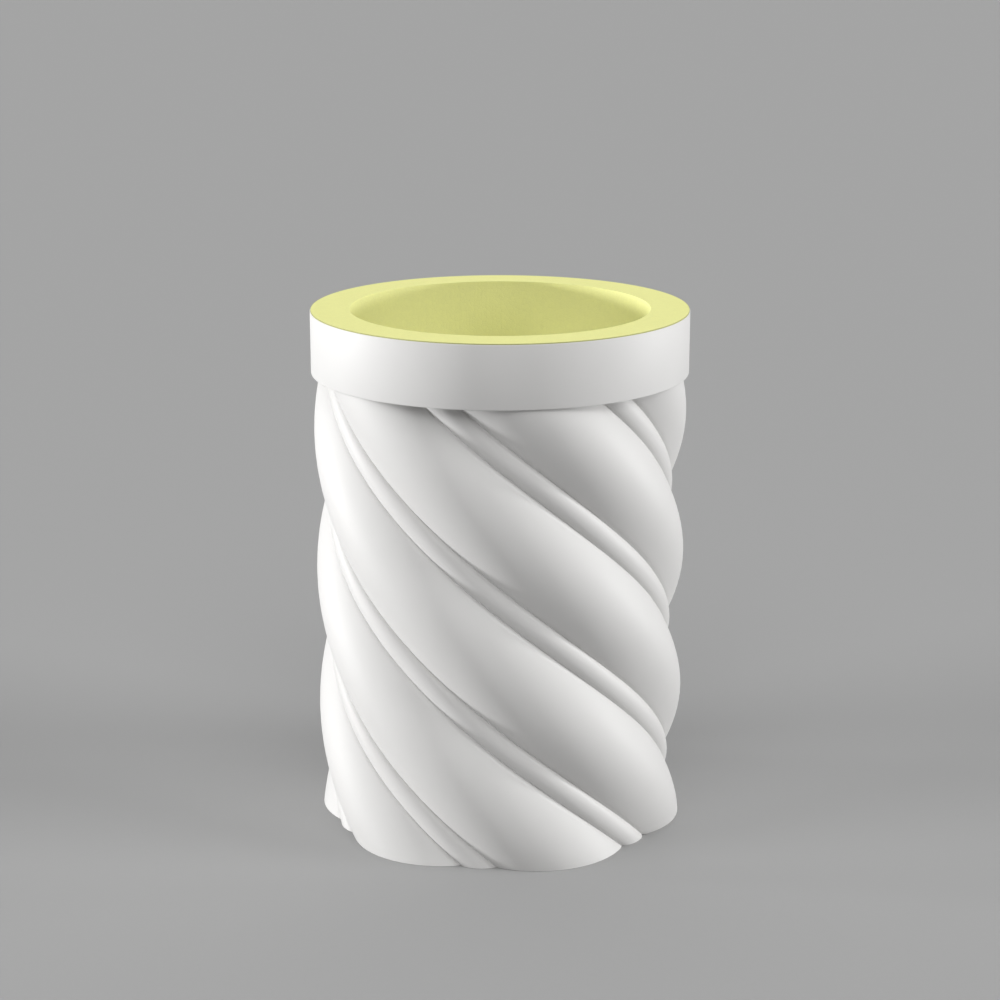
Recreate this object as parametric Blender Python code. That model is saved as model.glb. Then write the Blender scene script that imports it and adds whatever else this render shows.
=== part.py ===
"""A hollow length of barley twist column.

A plain round band stands on a shaft of twisted strands. Each strand is one wide lobe and one narrow
bead, which meet in sharp creases. A round bore runs through the whole length, so that the piece slips
over a post or a pipe. The body is pale yellow foam, with a thin white coat on its outside only.

Everything is in metres, with Z up. The origin is on the axis, at the level of the cut underside.
"""

import math

import bmesh
import bpy

# Driving dimensions, built up from the bore outwards
BORE_RADIUS = 0.119
WALL_AT_CREASES = 0.0155
BEAD_RISE = 0.0034
LOBE_RISE = 0.0139
BAND_PROJECTION = 0.0016

# Heights
SHAFT_LENGTH = 0.370
BAND_HEIGHT = 0.050

# The twist: strands sink to the right as seen from outside
STRANDS = 6
BEAD_WIDTH = 0.0290
LOBE_CREST_LEAN = 0.01
TWIST_LEAD = 0.690
FRONT_CREASE_BELOW_BAND = 0.0271

# How far the bore cutter runs past both ends
CUTTER_OVERRUN = 0.020

# Facets
LOBE_SEGMENTS = 8
BEAD_SEGMENTS = 4
TWIST_STEP = math.radians(5.2)
BAND_SEGMENTS = 96
BORE_SEGMENTS = 72
SHARP_ANGLE = math.radians(30.0)

# Finishes
COAT_COLOUR = (0.80, 0.79, 0.78, 1.0)
COAT_ROUGHNESS = 0.62
FOAM_COLOUR = (0.80, 0.80, 0.34, 1.0)
FOAM_ROUGHNESS = 0.92

# The foam's place among an object's materials, after the coat
FOAM_SLOT = 1

# Radii and heights that follow from them
CREASE_RADIUS = BORE_RADIUS + WALL_AT_CREASES
BEAD_CREST_RADIUS = CREASE_RADIUS + BEAD_RISE
LOBE_CREST_RADIUS = CREASE_RADIUS + LOBE_RISE
BAND_RADIUS = LOBE_CREST_RADIUS + BAND_PROJECTION
TOTAL_HEIGHT = SHAFT_LENGTH + BAND_HEIGHT
FRONT_ANGLE = math.radians(-90.0)


def clear_scene():
    """Take away whatever the scene holds."""
    for thing in list(bpy.data.objects):
        bpy.data.objects.remove(thing, do_unlink=True)


def finish(name, colour, roughness):
    """Return a material with one plain colour."""
    material = bpy.data.materials.new(name)
    material.use_nodes = True
    shader = material.node_tree.nodes["Principled BSDF"]
    shader.inputs["Base Color"].default_value = colour
    shader.inputs["Roughness"].default_value = roughness
    shader.inputs["Metallic"].default_value = 0.0
    material.diffuse_color = colour
    return material


def swelling(width_angle, crest_radius, segments, lean):
    """Return the (angle, radius) points of a round swelling between two creases.

    In plan it is one circular arc, through both creases and the crest. Its last point is left to the
    next swelling. The lean moves the crest that share of the width back towards the first crease.
    """
    half = width_angle / 2.0
    crease_x = CREASE_RADIUS * math.cos(half)
    centre = (crest_radius**2 - CREASE_RADIUS**2) / (2.0 * (crest_radius - crease_x))
    arc_radius = crest_radius - centre
    points = []
    for number in range(segments):
        share = number / segments
        off_crest = share * width_angle - half
        reach = arc_radius**2 - (centre * math.sin(off_crest)) ** 2
        radius = centre * math.cos(off_crest) + math.sqrt(reach)
        angle = width_angle * (share - 4.0 * lean * share * (1.0 - share))
        points.append((angle, radius))
    return points


def shaft_outline():
    """Return the (angle, radius) points of the shaft's plan, lobe and bead by turns."""
    strand_angle = math.tau / STRANDS
    bead_angle = 2.0 * math.asin(BEAD_WIDTH / 2.0 / CREASE_RADIUS)
    lobe_angle = strand_angle - bead_angle
    lobe = swelling(lobe_angle, LOBE_CREST_RADIUS, LOBE_SEGMENTS, LOBE_CREST_LEAN)
    bead = swelling(bead_angle, BEAD_CREST_RADIUS, BEAD_SEGMENTS, 0.0)
    points = []
    for strand in range(STRANDS):
        start = strand * strand_angle
        points += [(start + angle, radius) for angle, radius in lobe]
        points += [(start + lobe_angle + angle, radius) for angle, radius in bead]
    return points


def object_from(bm, name, materials):
    """Turn a bmesh into a smooth object that carries the materials."""
    bmesh.ops.recalc_face_normals(bm, faces=bm.faces)
    mesh = bpy.data.meshes.new(name)
    bm.to_mesh(mesh)
    bm.free()
    for material in materials:
        mesh.materials.append(material)
    mesh.shade_smooth()
    mesh.set_sharp_from_angle(angle=SHARP_ANGLE)
    thing = bpy.data.objects.new(name, mesh)
    bpy.context.collection.objects.link(thing)
    return thing


def hide_as_guide(thing):
    """Show an object as a wire guide that is no part of the model."""
    thing.hide_render = True
    thing.display_type = "WIRE"


def twisted_shaft(materials):
    """Make the solid shaft: its plan, raised and turned at once, up to the middle of the band."""
    height = SHAFT_LENGTH + BAND_HEIGHT / 2.0
    twist = math.tau * height / TWIST_LEAD
    steps = math.ceil(twist / TWIST_STEP)
    crease_height = SHAFT_LENGTH - FRONT_CREASE_BELOW_BAND
    first_angle = FRONT_ANGLE + math.tau * crease_height / TWIST_LEAD

    bm = bmesh.new()
    ring = []
    for angle, radius in shaft_outline():
        turned = first_angle + angle
        ring.append(bm.verts.new((radius * math.cos(turned), radius * math.sin(turned), 0.0)))
    edges = [bm.edges.new((ring[place - 1], ring[place])) for place in range(len(ring))]
    swept = bmesh.ops.spin(
        bm,
        geom=edges,
        cent=(0.0, 0.0, 0.0),
        axis=(0.0, 0.0, 1.0),
        dvec=(0.0, 0.0, height / steps),
        angle=-twist,
        steps=steps,
        use_merge=False,
        use_duplicate=False,
    )
    last = [item for item in swept["geom_last"] if isinstance(item, bmesh.types.BMEdge)]
    for rim in (edges, last):
        cap = bmesh.ops.contextual_create(bm, geom=rim)
        cap["faces"][0].material_index = FOAM_SLOT
    return object_from(bm, "twisted_column", materials)


def cylinder(name, radius, low, high, segments, materials):
    """Make an upright cylinder around the axis, between two heights."""
    bm = bmesh.new()
    bmesh.ops.create_cone(
        bm,
        cap_ends=True,
        segments=segments,
        radius1=radius,
        radius2=radius,
        depth=high - low,
    )
    bmesh.ops.translate(bm, verts=bm.verts, vec=(0.0, 0.0, (low + high) / 2.0))
    return object_from(bm, name, materials)


def band_guide(materials):
    """Make the plain round band, foam on its cut top and coated elsewhere."""
    band = cylinder("band", BAND_RADIUS, SHAFT_LENGTH, TOTAL_HEIGHT, BAND_SEGMENTS, materials)
    top = max(band.data.polygons, key=lambda face: face.center.z)
    top.material_index = FOAM_SLOT
    hide_as_guide(band)
    return band


def bore_guide(materials):
    """Make the cutter of the bore, which leaves bare foam behind it."""
    low = -CUTTER_OVERRUN
    high = TOTAL_HEIGHT + CUTTER_OVERRUN
    bore = cylinder("bore", BORE_RADIUS, low, high, BORE_SEGMENTS, materials)
    for face in bore.data.polygons:
        face.material_index = FOAM_SLOT
    hide_as_guide(bore)
    return bore


def combine(thing, operation, guide):
    """Join a guide to an object, or cut it out of it."""
    boolean = thing.modifiers.new(guide.name, "BOOLEAN")
    boolean.operation = operation
    boolean.solver = "EXACT"
    boolean.object = guide


def main():
    """Build the column."""
    clear_scene()
    coat = finish("white_coat", COAT_COLOUR, COAT_ROUGHNESS)
    foam = finish("bare_foam", FOAM_COLOUR, FOAM_ROUGHNESS)
    materials = (coat, foam)
    column = twisted_shaft(materials)
    combine(column, "UNION", band_guide(materials))
    combine(column, "DIFFERENCE", bore_guide(materials))


main()
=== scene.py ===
"""Looks of a hollow length of barley twist column: foam body, white coat and a plain studio."""

import math

import bmesh
import bpy
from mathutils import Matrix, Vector


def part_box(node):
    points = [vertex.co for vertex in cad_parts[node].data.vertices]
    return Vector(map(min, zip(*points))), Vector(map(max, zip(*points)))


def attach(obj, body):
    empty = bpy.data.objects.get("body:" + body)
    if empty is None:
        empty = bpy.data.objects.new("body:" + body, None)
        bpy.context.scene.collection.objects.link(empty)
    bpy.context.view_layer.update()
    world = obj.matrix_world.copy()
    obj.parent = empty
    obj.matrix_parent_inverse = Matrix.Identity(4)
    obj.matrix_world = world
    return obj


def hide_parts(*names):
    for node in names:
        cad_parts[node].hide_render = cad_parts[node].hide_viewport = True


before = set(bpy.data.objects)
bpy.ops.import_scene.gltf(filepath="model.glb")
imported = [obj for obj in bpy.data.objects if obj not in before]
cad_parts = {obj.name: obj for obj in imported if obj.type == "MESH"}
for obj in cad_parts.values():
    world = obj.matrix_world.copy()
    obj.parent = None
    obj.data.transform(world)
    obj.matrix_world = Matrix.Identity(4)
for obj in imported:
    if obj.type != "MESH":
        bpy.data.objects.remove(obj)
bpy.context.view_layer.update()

bl_info = {
    "name": "Barley twist column",
    "version": (1, 0, 0),
    "blender": (4, 5, 0),
    "location": "3D View > Sidebar > Column",
    "description": "Dresses a length of twisted column as coated foam, in a plain studio",
    "category": "Object",
}

NODE = "twisted_column"
BODY = "root"
NODE_LOW, NODE_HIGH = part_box(NODE)

# Facets of the fine meshes
LOBE_SEGMENTS = 26
BEAD_SEGMENTS = 12
FILLET_SEGMENTS = 3
ARRIS_SEGMENTS = 3
OUTER_TWIST_STEP = math.radians(1.1)
INNER_TWIST_STEP = math.radians(3.2)
SHARP_ANGLE = math.radians(40.0)

# How many times its own thickness the coat stands before the foam on the shaft. It is more than
# once, because the inset is level and the lobes' flanks slant.
FLANK_ALLOWANCE = 1.4

# Room between foam and coat on the band
FOAM_GAP = 0.00002

# How much of the coat's thickness is rounded at its upper edge
TOP_EASE_SHARE = 0.8

# Points closer together than this are joined, where two walls end in one edge
WELD_DISTANCE = 0.00002


class ColumnSizes(bpy.types.PropertyGroup):
    """Sizes of the column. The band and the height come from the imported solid."""

    height: bpy.props.FloatProperty(
        name="Height",
        description="Height of the whole piece",
        default=NODE_HIGH.z - NODE_LOW.z,
        unit="LENGTH",
    )
    band_radius: bpy.props.FloatProperty(
        name="Band radius",
        description="Outer radius of the plain band",
        default=NODE_HIGH.x,
        unit="LENGTH",
    )
    band_height: bpy.props.FloatProperty(
        name="Band height",
        description="Height of the plain band",
        default=0.050,
        unit="LENGTH",
    )
    bore_radius: bpy.props.FloatProperty(
        name="Bore radius",
        description="Radius of the bore through the foam",
        default=0.119,
        unit="LENGTH",
    )
    crease_radius: bpy.props.FloatProperty(
        name="Crease radius",
        description="Radius where lobes and beads meet, before the creases are cut deeper",
        default=0.1350,
        unit="LENGTH",
    )
    lobe_rise: bpy.props.FloatProperty(
        name="Lobe rise",
        description="How far a lobe's crest stands above the creases",
        default=0.0134,
        unit="LENGTH",
    )
    bead_rise: bpy.props.FloatProperty(
        name="Bead rise",
        description="How far a bead's crest stands above the creases",
        default=0.0034,
        unit="LENGTH",
    )
    bead_width: bpy.props.FloatProperty(
        name="Bead width",
        description="Width of a bead between its creases, measured level",
        default=0.0290,
        unit="LENGTH",
    )
    strands: bpy.props.IntProperty(
        name="Strands",
        description="Number of lobes, with a bead beside each",
        default=6,
        min=2,
    )
    crest_lean: bpy.props.FloatProperty(
        name="Crest lean",
        description="Share of a lobe's width by which its crest leans downhill",
        default=0.01,
        subtype="FACTOR",
    )
    lead: bpy.props.FloatProperty(
        name="Lead",
        description="Height in which a strand goes once around",
        default=0.690,
        unit="LENGTH",
    )
    front_crease_drop: bpy.props.FloatProperty(
        name="Front crease drop",
        description="How far below the band a lobe's lower crease crosses the front",
        default=0.0271,
        unit="LENGTH",
    )
    coat: bpy.props.FloatProperty(
        name="Coat thickness",
        description="Thickness of the white coat",
        default=0.0005,
        unit="LENGTH",
    )
    coat_setback: bpy.props.FloatProperty(
        name="Coat setback",
        description="How far below the foam's top the coat ends",
        default=0.0008,
        unit="LENGTH",
    )
    arris: bpy.props.FloatProperty(
        name="Arris",
        description="Radius of the band's eased foot",
        default=0.0006,
        unit="LENGTH",
    )
    cut_depth: bpy.props.FloatProperty(
        name="Crease cut",
        description="How much deeper each crease is cut than the swellings' arcs",
        default=0.0010,
        unit="LENGTH",
    )
    cut_reach: bpy.props.FloatProperty(
        name="Crease cut reach",
        description="How far from a crease its cut reaches up the swellings, measured level",
        default=0.0042,
        unit="LENGTH",
    )
    fillet: bpy.props.FloatProperty(
        name="Crease fillet",
        description="How far the coat rounds each crease, to either side",
        default=0.0004,
        unit="LENGTH",
    )


class ColumnFinishes(bpy.types.PropertyGroup):
    """Colours of the column and of the studio."""

    coat_colour: bpy.props.FloatVectorProperty(
        name="Coat",
        description="Colour of the white coat",
        default=(0.706, 0.700, 0.690),
        size=3,
        subtype="COLOR",
    )
    foam_colour: bpy.props.FloatVectorProperty(
        name="Foam",
        description="Colour of the bare foam",
        default=(0.875, 0.875, 0.362),
        size=3,
        subtype="COLOR",
    )
    # Painted light: the foam's colour made paler for the bore, to make up for the shade inside it
    bore_painted_light_colour: bpy.props.FloatVectorProperty(
        name="Bore",
        description="Colour of the bare foam in the bore",
        default=(0.905, 0.905, 0.412),
        size=3,
        subtype="COLOR",
    )
    floor_colour: bpy.props.FloatVectorProperty(
        name="Floor",
        description="Colour of the studio floor, and of what shows beyond it",
        default=(0.39, 0.39, 0.39),
        size=3,
        subtype="COLOR",
    )
    light_level: bpy.props.FloatProperty(
        name="Light level",
        description="Strength of all the studio's lights, as a multiple of the usual one",
        default=1.0,
        min=0.0,
    )


class Signal:
    """A socket that can be added, taken away and multiplied. Each such step adds a Math node."""

    def __init__(self, finish, socket):
        self.finish = finish
        self.socket = socket

    def maths(self, operation, first, second):
        """Add a Math node and return what it gives."""
        node = self.finish.add("ShaderNodeMath", {"operation": operation}, {0: first, 1: second})
        return Signal(self.finish, node.outputs[0])

    def __add__(self, other):
        return self.maths("ADD", self, other)

    def __radd__(self, other):
        return self.maths("ADD", other, self)

    def __sub__(self, other):
        return self.maths("SUBTRACT", self, other)

    def __rsub__(self, other):
        return self.maths("SUBTRACT", other, self)

    def __mul__(self, other):
        return self.maths("MULTIPLY", self, other)

    def __rmul__(self, other):
        return self.maths("MULTIPLY", other, self)


class Finish:
    """A Principled material and the nodes that vary it over the surface."""

    def __init__(self, name, colour, roughness):
        self.material = bpy.data.materials.new(name)
        self.material.use_nodes = True
        self.nodes = self.material.node_tree.nodes
        self.links = self.material.node_tree.links
        self.shader = self.nodes["Principled BSDF"]
        self.feed(self.shader, "Base Color", (*colour, 1.0))
        self.feed(self.shader, "Roughness", roughness)
        self.place = self.add("ShaderNodeTexCoord", {}, {}).outputs["Object"]

    def feed(self, node, name, value):
        """Give a socket its value, or link it."""
        socket = node.inputs[name]
        if isinstance(value, Signal):
            value = value.socket
        if isinstance(value, bpy.types.NodeSocket):
            self.links.new(value, socket)
        else:
            socket.default_value = value

    def add(self, kind, settings, inputs):
        """Add a node of a type. Its settings come first, then its sockets' values or links."""
        node = self.nodes.new(kind)
        for name, value in settings.items():
            setattr(node, name, value)
        for name, value in inputs.items():
            self.feed(node, name, value)
        return node

    def stretched(self, reach):
        """Return the place, measured in cells that reach this far along each axis."""
        scale = tuple(1.0 / length for length in reach)
        node = self.add("ShaderNodeMapping", {}, {"Vector": self.place, "Scale": scale})
        return node.outputs["Vector"]

    def noise(self, reach, detail):
        """Return noise about 0, from -0.5 to 0.5, whose cells have this reach in metres."""
        inputs = {"Vector": self.stretched(reach), "Scale": 1.0, "Detail": detail}
        node = self.add("ShaderNodeTexNoise", {}, inputs)
        return Signal(self, node.outputs["Fac"]) - 0.5

    def cells(self, size, feature, output):
        """Return one output of a Voronoi texture whose cells are this wide."""
        inputs = {"Vector": self.place, "Scale": 1.0 / size}
        node = self.add("ShaderNodeTexVoronoi", {"feature": feature}, inputs)
        return node.outputs[output]

    def ramp(self, value, low, high):
        """Return 0 where the value is low and 1 where it is high, with a soft step between."""
        settings = {"interpolation_type": "SMOOTHSTEP"}
        inputs = {"Value": value, "From Min": low, "From Max": high}
        node = self.add("ShaderNodeMapRange", settings, inputs)
        return Signal(self, node.outputs["Result"])

    def shade(self, colour, brightness):
        """Return the colour made lighter or darker."""
        inputs = {0: colour, "Scale": brightness}
        node = self.add("ShaderNodeVectorMath", {"operation": "SCALE"}, inputs)
        return node.outputs["Vector"]

    def mixed(self, share, first, second):
        """Return the first colour, with this share of the second mixed in."""
        # Of a Mix node's sockets, 4, 5 and output 1 are the ones that carry vectors
        node = self.add("ShaderNodeMix", {"data_type": "VECTOR"}, {0: share, 4: first, 5: second})
        return node.outputs[1]

    def off_axis(self):
        """Return the distance from the column's axis."""
        inputs = {0: self.place, 1: (1.0, 1.0, 0.0)}
        level = self.add("ShaderNodeVectorMath", {"operation": "MULTIPLY"}, inputs)
        inputs = {0: level.outputs["Vector"]}
        radius = self.add("ShaderNodeVectorMath", {"operation": "LENGTH"}, inputs)
        return radius.outputs["Value"]

    def relief(self, height):
        """Let light see a height in metres, which is too fine for the mesh."""
        inputs = {"Strength": 1.0, "Distance": 1.0, "Height": height}
        node = self.add("ShaderNodeBump", {}, inputs)
        self.feed(self.shader, "Normal", node.outputs["Normal"])


# The coat. Reaches and heights are in metres, and the rest are shares.
COAT_ROUGHNESS = 0.55
COAT_SPECULAR = 0.35
GRAIN_REACH = (0.0007, 0.0007, 0.0007)
GRAIN_SHADE = 0.020
GRAIN_ROUGHNESS = 0.08
GRAIN_HEIGHT = 0.00003
WAVE_REACH = (0.045, 0.045, 0.090)
WAVE_HEIGHT = 0.00025
PATCH_REACH = (0.030, 0.030, 0.030)
PATCH_SHADE = 0.030
PATCH_ROUGHNESS = 0.12


def coat_finish(colour):
    """The white coat: smooth and matt, with the fine grain and the faint waves of its filler."""
    finish = Finish("white_coat", colour, COAT_ROUGHNESS)
    grain = finish.noise(GRAIN_REACH, detail=2.0)
    waves = finish.noise(WAVE_REACH, detail=1.0)
    patches = finish.noise(PATCH_REACH, detail=3.0)
    brightness = 1.0 + patches * PATCH_SHADE + grain * GRAIN_SHADE
    roughness = COAT_ROUGHNESS + patches * PATCH_ROUGHNESS + grain * GRAIN_ROUGHNESS
    finish.feed(finish.shader, "Base Color", finish.shade(colour, brightness))
    finish.feed(finish.shader, "Roughness", roughness)
    finish.feed(finish.shader, "Specular IOR Level", COAT_SPECULAR)
    finish.relief(grain * GRAIN_HEIGHT + waves * WAVE_HEIGHT)
    return finish.material


# The foam. Sizes, reaches and heights are in metres, and the rest are shares.
FOAM_ROUGHNESS = 0.85
FOAM_SPECULAR = 0.25
FOAM_BEAD_SIZE = 0.0032
FOAM_BEAD_SHADE = 0.020
SEAM_SHARE = 0.09
SEAM_SHADE = 0.025
SEAM_DEPTH = 0.00006
PORE_REACH = (0.0006, 0.0006, 0.0006)
PORE_SHADE = 0.030
PORE_ROUGHNESS = 0.10
PORE_HEIGHT = 0.00006
STREAK_REACH = (0.0025, 0.0025, 0.160)
STREAK_SHADE = 0.020
STREAK_HEIGHT = 0.00008

# Over how much of the radius the foam turns to the paler bore colour, which is painted light
BORE_BLEND = 0.0004

# Painted shade: a darker line along the coat's upper edge, standing in for the shadow in the gap
# there; how far in it starts and is full, and how dark
RIM_START = 0.0004
RIM_FULL = 0.0001
RIM_PAINTED_SHADE = 0.50


def foam_finish(sizes, finishes):
    """The bare foam: pale yellow beads pressed together, cut by a hot wire along the bore.

    The bore gets a paler copy of the foam colour, painted light that makes up for the shade
    inside the bore, and painted shade darkens a line around the top along the coat's edge.
    """
    finish = Finish("bare_foam", finishes.foam_colour, FOAM_ROUGHNESS)
    radius = finish.off_axis()
    in_bore = 1.0 - finish.ramp(radius, sizes.bore_radius, sizes.bore_radius + BORE_BLEND)
    rim = sizes.band_radius - sizes.coat
    rim_painted_shade = finish.ramp(radius, rim - RIM_START, rim - RIM_FULL)
    shades = finish.cells(FOAM_BEAD_SIZE, "F1", "Color")
    from_seam = finish.cells(FOAM_BEAD_SIZE, "DISTANCE_TO_EDGE", "Distance")
    raised = finish.ramp(from_seam, 0.0, SEAM_SHARE)
    pores = finish.noise(PORE_REACH, detail=2.0)
    streaks = finish.noise(STREAK_REACH, detail=2.0)
    parted = finish.add("ShaderNodeSeparateColor", {}, {"Color": shades})
    bead_shade = Signal(finish, parted.outputs[0]) - 0.5
    brightness = (
        1.0 - SEAM_SHADE
        + raised * SEAM_SHADE
        + bead_shade * FOAM_BEAD_SHADE
        + pores * PORE_SHADE
        + streaks * STREAK_SHADE
    )
    # Painted shade: the foam darkens to a line around the top, along the coat's edge
    brightness = brightness * (1.0 - rim_painted_shade * RIM_PAINTED_SHADE)
    # Painted light: the bore gets the paler colour, to make up for the shade inside it
    tint = finish.mixed(in_bore, finishes.foam_colour, finishes.bore_painted_light_colour)
    finish.feed(finish.shader, "Base Color", finish.shade(tint, brightness))
    finish.feed(finish.shader, "Roughness", FOAM_ROUGHNESS + pores * PORE_ROUGHNESS)
    finish.feed(finish.shader, "Specular IOR Level", FOAM_SPECULAR)
    finish.relief(raised * SEAM_DEPTH + pores * PORE_HEIGHT + streaks * STREAK_HEIGHT)
    return finish.material


# The studio floor
FLOOR_ROUGHNESS = 1.0
FLOOR_SPECULAR = 0.0
MOTTLE_REACH = (0.004, 0.004, 0.004)
MOTTLE_SHADE = 0.02


def floor_finish(colour):
    """The studio floor: even and dead matt."""
    finish = Finish("studio_floor", colour, FLOOR_ROUGHNESS)
    finish.feed(finish.shader, "Specular IOR Level", FLOOR_SPECULAR)
    mottle = finish.noise(MOTTLE_REACH, detail=3.0)
    brightness = 1.0 + mottle * MOTTLE_SHADE
    finish.feed(finish.shader, "Base Color", finish.shade(colour, brightness))
    return finish.material


def swelling(sizes, width_angle, crest_radius, segments, lean):
    """Return the (angle, radius) points of a swelling between two creases, but not its last.

    It is a circular arc that dips towards the creases, where its points lie closer together.
    """
    half = width_angle / 2.0
    crease = sizes.crease_radius
    centre = (crest_radius**2 - crease**2) / (2.0 * (crest_radius - crease * math.cos(half)))
    arc_radius = crest_radius - centre
    points = []
    for number in range(segments):
        share = (1.0 - math.cos(math.pi * number / segments)) / 2.0
        off_crest = share * width_angle - half
        reach = arc_radius**2 - (centre * math.sin(off_crest)) ** 2
        radius = centre * math.cos(off_crest) + math.sqrt(reach)
        from_crease = min(share, 1.0 - share) * width_angle * crease
        cut = sizes.cut_depth * max(0.0, 1.0 - from_crease / sizes.cut_reach) ** 2
        # The lean moves the crest and leaves both creases where they are
        angle = width_angle * (share - 4.0 * lean * share * (1.0 - share))
        points.append((angle, radius - cut))
    return points


def plan_ring(bm, sizes, inset):
    """Draw the shaft's plan at the underside, its creases rounded, and return its edges."""
    crease_height = sizes.height - sizes.band_height - sizes.front_crease_drop
    first_angle = math.tau * crease_height / sizes.lead - math.pi / 2.0
    strand_angle = math.tau / sizes.strands
    bead_angle = 2.0 * math.asin(sizes.bead_width / 2.0 / sizes.crease_radius)
    lobe_angle = strand_angle - bead_angle
    lobe_crest = sizes.crease_radius + sizes.lobe_rise
    bead_crest = sizes.crease_radius + sizes.bead_rise
    swellings = (
        (0.0, swelling(sizes, lobe_angle, lobe_crest, LOBE_SEGMENTS, sizes.crest_lean)),
        (lobe_angle, swelling(sizes, bead_angle, bead_crest, BEAD_SEGMENTS, 0.0)),
    )
    ring = []
    creases = []
    for strand in range(sizes.strands):
        for start, points in swellings:
            creases.append(len(ring))
            for angle, radius in points:
                turned = first_angle + strand * strand_angle + start + angle
                out = Vector((math.cos(turned), math.sin(turned), 0.0))
                ring.append(bm.verts.new(out * (radius - inset)))
    for place, vert in enumerate(ring):
        bm.edges.new((ring[place - 1], vert))
    bmesh.ops.bevel(
        bm,
        geom=[ring[place] for place in creases],
        offset=sizes.fillet,
        offset_type="OFFSET",
        segments=FILLET_SEGMENTS,
        profile=0.5,
        affect="VERTICES",
        material=-1,
    )
    return [edge for edge in bm.edges if edge.is_wire]


def twisted_wall(bm, sizes, ring, height, twist_step):
    """Raise a ring of edges from the underside, turned with the strands, and return the last."""
    twist = math.tau * height / sizes.lead
    steps = math.ceil(twist / twist_step)
    swept = bmesh.ops.spin(
        bm,
        geom=ring,
        cent=(0.0, 0.0, 0.0),
        axis=(0.0, 0.0, 1.0),
        dvec=(0.0, 0.0, height / steps),
        angle=-twist,
        steps=steps,
        use_merge=False,
        use_duplicate=False,
    )
    return [item for item in swept["geom_last"] if isinstance(item, bmesh.types.BMEdge)]


def carried(bm, ring, place):
    """Extrude a ring of edges to where the function puts each point, and return the new ring."""
    made = bmesh.ops.extrude_edge_only(bm, edges=ring)
    carried_ring = [item for item in made["geom"] if isinstance(item, bmesh.types.BMEdge)]
    for vert in {vert for edge in carried_ring for vert in edge.verts}:
        vert.co = place(vert.co)
    return carried_ring


def outwards(point):
    """Return the level direction from the axis to a point."""
    return Vector((point.x, point.y, 0.0)).normalized()


def turned_wall(bm, ring, profile):
    """Carry a ring of edges through the (radius, height) points of a profile, all around."""
    for radius, height in profile:
        level = Vector((0.0, 0.0, height))
        ring = carried(bm, ring, lambda point: outwards(point) * radius + level)
    return ring


def arris(radius, height, ease, start):
    """Return the (radius, height) points of an eased edge, a quarter turn from a first angle."""
    points = []
    for number in range(ARRIS_SEGMENTS + 1):
        angle = start + math.radians(90.0) * number / ARRIS_SEGMENTS
        points.append((radius - ease + ease * math.cos(angle), height + ease * math.sin(angle)))
    return points


def finished_piece(bm, name, material):
    """Turn a closed bmesh into a smooth piece with its material, at the world origin."""
    bmesh.ops.recalc_face_normals(bm, faces=bm.faces)
    mesh = bpy.data.meshes.new(name)
    bm.to_mesh(mesh)
    bm.free()
    mesh.materials.append(material)
    mesh.shade_smooth()
    mesh.set_sharp_from_angle(angle=SHARP_ANGLE)
    piece = bpy.data.objects.new(name, mesh)
    bpy.context.scene.collection.objects.link(piece)
    return piece


class COLUMN_OT_foam_body(bpy.types.Operator):
    """Make the foam body, bare on its cut ends and in its bore"""

    bl_idname = "column.foam_body"
    bl_label = "Foam body"

    def execute(self, context):
        sizes = context.scene.column_sizes
        bm = bmesh.new()
        shoulder = sizes.height - sizes.band_height + sizes.coat + FOAM_GAP
        outer_low = plan_ring(bm, sizes, sizes.coat * FLANK_ALLOWANCE)
        bore_low = turned_wall(bm, outer_low, [(sizes.bore_radius, 0.0)])
        outer_high = twisted_wall(bm, sizes, outer_low, shoulder, INNER_TWIST_STEP)
        bore_high = twisted_wall(bm, sizes, bore_low, shoulder, INNER_TWIST_STEP)
        band = sizes.band_radius - sizes.coat - FOAM_GAP
        top = (sizes.bore_radius, sizes.height)
        turned_wall(bm, outer_high, [(band, shoulder), (band, sizes.height), top])
        turned_wall(bm, bore_high, [top])
        bmesh.ops.remove_doubles(bm, verts=bm.verts, dist=WELD_DISTANCE)
        finishes = context.scene.column_finishes
        body = finished_piece(bm, "foam_body", foam_finish(sizes, finishes))
        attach(body, BODY)
        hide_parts(NODE)
        return {"FINISHED"}


class COLUMN_OT_white_coat(bpy.types.Operator):
    """Make the white coat, a thin closed skin over the band and the twisted shaft"""

    bl_idname = "column.white_coat"
    bl_label = "White coat"

    def execute(self, context):
        sizes = context.scene.column_sizes
        bm = bmesh.new()
        foot = sizes.height - sizes.band_height
        top = sizes.height - sizes.coat_setback
        inner_band = sizes.band_radius - sizes.coat
        inner_foot = (inner_band, foot + sizes.coat)
        outer_low = plan_ring(bm, sizes, 0.0)
        inner_low = carried(bm, outer_low, lambda point: point - outwards(point) * sizes.coat)
        outer_high = twisted_wall(bm, sizes, outer_low, foot, OUTER_TWIST_STEP)
        inner_high = twisted_wall(bm, sizes, inner_low, foot, INNER_TWIST_STEP)
        inner_high = carried(bm, inner_high, lambda point: point + Vector((0.0, 0.0, sizes.coat)))
        foot_edge = arris(sizes.band_radius, foot + sizes.arris, sizes.arris, math.radians(-90.0))
        top_ease = sizes.coat * TOP_EASE_SHARE
        top_edge = arris(sizes.band_radius, top - top_ease, top_ease, 0.0)
        turned_wall(bm, outer_high, [*foot_edge, *top_edge, (inner_band, top), inner_foot])
        turned_wall(bm, inner_high, [inner_foot])
        bmesh.ops.remove_doubles(bm, verts=bm.verts, dist=WELD_DISTANCE)
        finishes = context.scene.column_finishes
        coat = finished_piece(bm, "white_coat", coat_finish(finishes.coat_colour))
        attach(coat, BODY)
        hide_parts(NODE)
        return {"FINISHED"}


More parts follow.
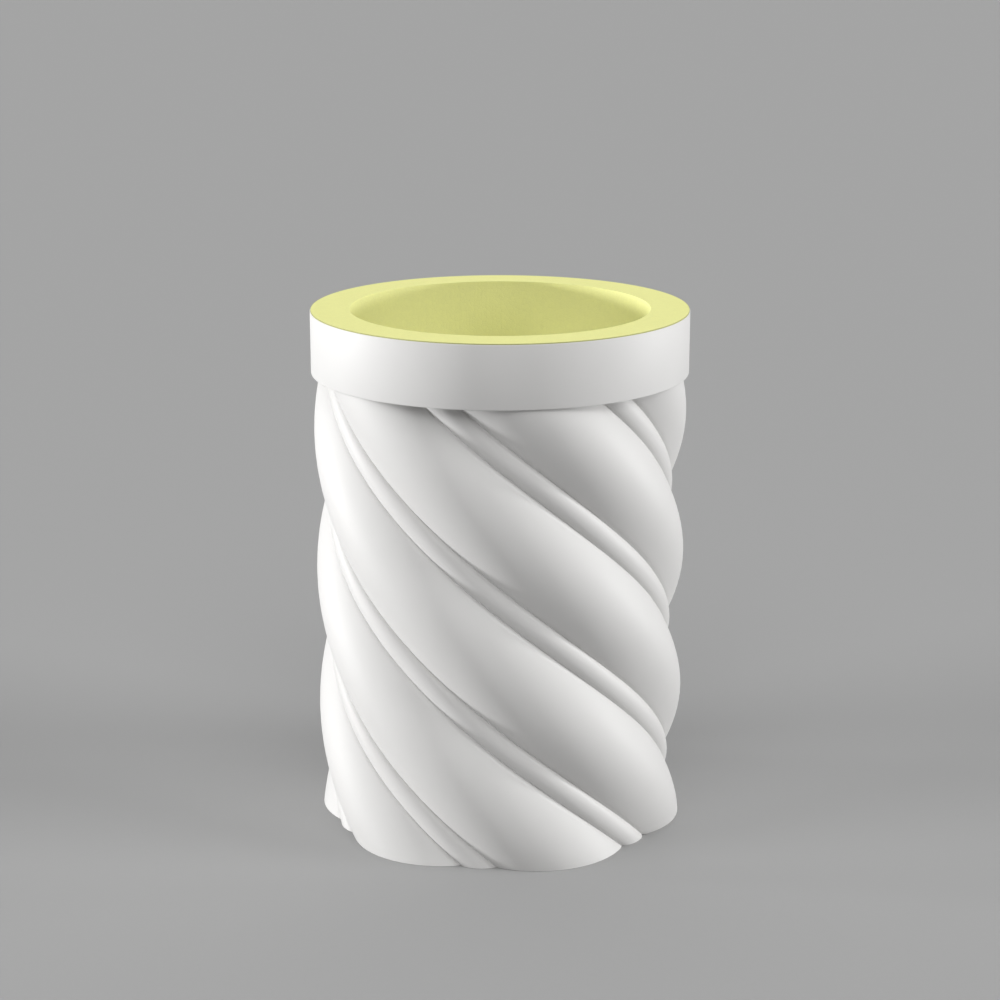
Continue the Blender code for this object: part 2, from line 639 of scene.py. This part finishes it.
# The floor and the camera, in metres, with the lens in millimetres
FLOOR_RADIUS = 30.0
FLOOR_SEGMENTS = 64
FLOOR_GAP = 0.0002
CAMERA_DISTANCE = 1.8828
CAMERA_ABOVE_TOP = 0.3449
CAMERA_PITCH = math.radians(15.90)
CAMERA_LENS = 86.80
CAMERA_SHIFT_UP = 0.04
SENSOR_WIDTH = 36.0

# Where the lamps stand. They light evenly, as from far away, so only their direction counts.
LIGHT_DISTANCE = 3.0

# Azimuth, elevation and spread in degrees, and strength in watts per square metre. Azimuths
# count from the camera's side, towards its right.
LIGHTS = {
    "left_key": (-98.0, 0.8, 7.5, 4.15),
    "left_fill": (-70.0, 28.0, 25.0, 0.80),
    "right_key": (101.0, 0.7, 6.5, 2.20),
    "right_fill": (75.0, 28.0, 25.0, 1.06),
    "front_overhead": (0.0, 54.0, 60.0, 1.54),
    "back_overhead": (180.0, 70.0, 60.0, 0.80),
}


def light(name, azimuth, elevation, spread, strength):
    """Let even light fall on the piece from one direction."""
    around = math.radians(azimuth)
    up = math.radians(elevation)
    level = math.cos(up)
    away = Vector((math.sin(around) * level, -math.cos(around) * level, math.sin(up)))
    middle = Vector((0.0, 0.0, bpy.context.scene.column_sizes.height / 2.0))
    lamp = bpy.data.lights.new(name, "SUN")
    lamp.angle = math.radians(spread)
    lamp.energy = strength
    holder = bpy.data.objects.new(name, lamp)
    holder.location = middle + away * LIGHT_DISTANCE
    holder.rotation_euler = away.to_track_quat("Z", "Y").to_euler()
    bpy.context.scene.collection.objects.link(holder)


class COLUMN_OT_stage(bpy.types.Operator):
    """Make the plain floor, the soft lights and the camera"""

    bl_idname = "column.stage"
    bl_label = "Studio"

    def execute(self, context):
        scene = context.scene
        finishes = scene.column_finishes
        height = scene.column_sizes.height

        bm = bmesh.new()
        bmesh.ops.create_circle(bm, cap_ends=True, segments=FLOOR_SEGMENTS, radius=FLOOR_RADIUS)
        bmesh.ops.translate(bm, verts=bm.verts, vec=(0.0, 0.0, -FLOOR_GAP))
        floor = finished_piece(bm, "studio_floor", floor_finish(finishes.floor_colour))

        world = bpy.data.worlds.new("studio_room")
        world.use_nodes = True
        background = world.node_tree.nodes["Background"]
        background.inputs["Color"].default_value = (*finishes.floor_colour, 1.0)
        # Only the camera sees it, so it lights nothing
        seen = world.node_tree.nodes.new("ShaderNodeLightPath").outputs["Is Camera Ray"]
        world.node_tree.links.new(seen, background.inputs["Strength"])
        scene.world = world

        for name, (azimuth, elevation, spread, strength) in LIGHTS.items():
            light(name, azimuth, elevation, spread, strength * finishes.light_level)

        lens = bpy.data.cameras.new("camera")
        lens.lens = CAMERA_LENS
        lens.sensor_width = SENSOR_WIDTH
        lens.shift_y = CAMERA_SHIFT_UP
        camera = bpy.data.objects.new("camera", lens)
        camera.location = (0.0, -CAMERA_DISTANCE, height + CAMERA_ABOVE_TOP)
        camera.rotation_euler = (math.pi / 2.0 - CAMERA_PITCH, 0.0, 0.0)
        scene.collection.objects.link(camera)
        scene.camera = camera

        scene.view_settings.view_transform = "Standard"
        scene.view_settings.look = "None"
        return {"FINISHED"}


class COLUMN_PT_panel(bpy.types.Panel):
    """The column's sizes, finishes and makers"""

    bl_idname = "COLUMN_PT_panel"
    bl_label = "Barley twist column"
    bl_space_type = "VIEW_3D"
    bl_region_type = "UI"
    bl_category = "Column"

    def draw(self, context):
        layout = self.layout
        for group in (context.scene.column_sizes, context.scene.column_finishes):
            box = layout.box()
            for name in group.__annotations__:
                box.prop(group, name)
        for maker in MAKERS:
            layout.operator(maker.bl_idname)


GROUPS = (ColumnSizes, ColumnFinishes)
MAKERS = (COLUMN_OT_foam_body, COLUMN_OT_white_coat, COLUMN_OT_stage)


def register():
    """Add the groups, operators and panel to Blender."""
    for added in (*GROUPS, *MAKERS, COLUMN_PT_panel):
        bpy.utils.register_class(added)
    bpy.types.Scene.column_sizes = bpy.props.PointerProperty(type=ColumnSizes)
    bpy.types.Scene.column_finishes = bpy.props.PointerProperty(type=ColumnFinishes)


def unregister():
    """Take them away again."""
    del bpy.types.Scene.column_finishes
    del bpy.types.Scene.column_sizes
    for added in reversed((*GROUPS, *MAKERS, COLUMN_PT_panel)):
        bpy.utils.unregister_class(added)


def main():
    """Make the column and its studio."""
    register()
    bpy.ops.column.foam_body()
    bpy.ops.column.white_coat()
    bpy.ops.column.stage()


if __name__ == "__main__":
    main()
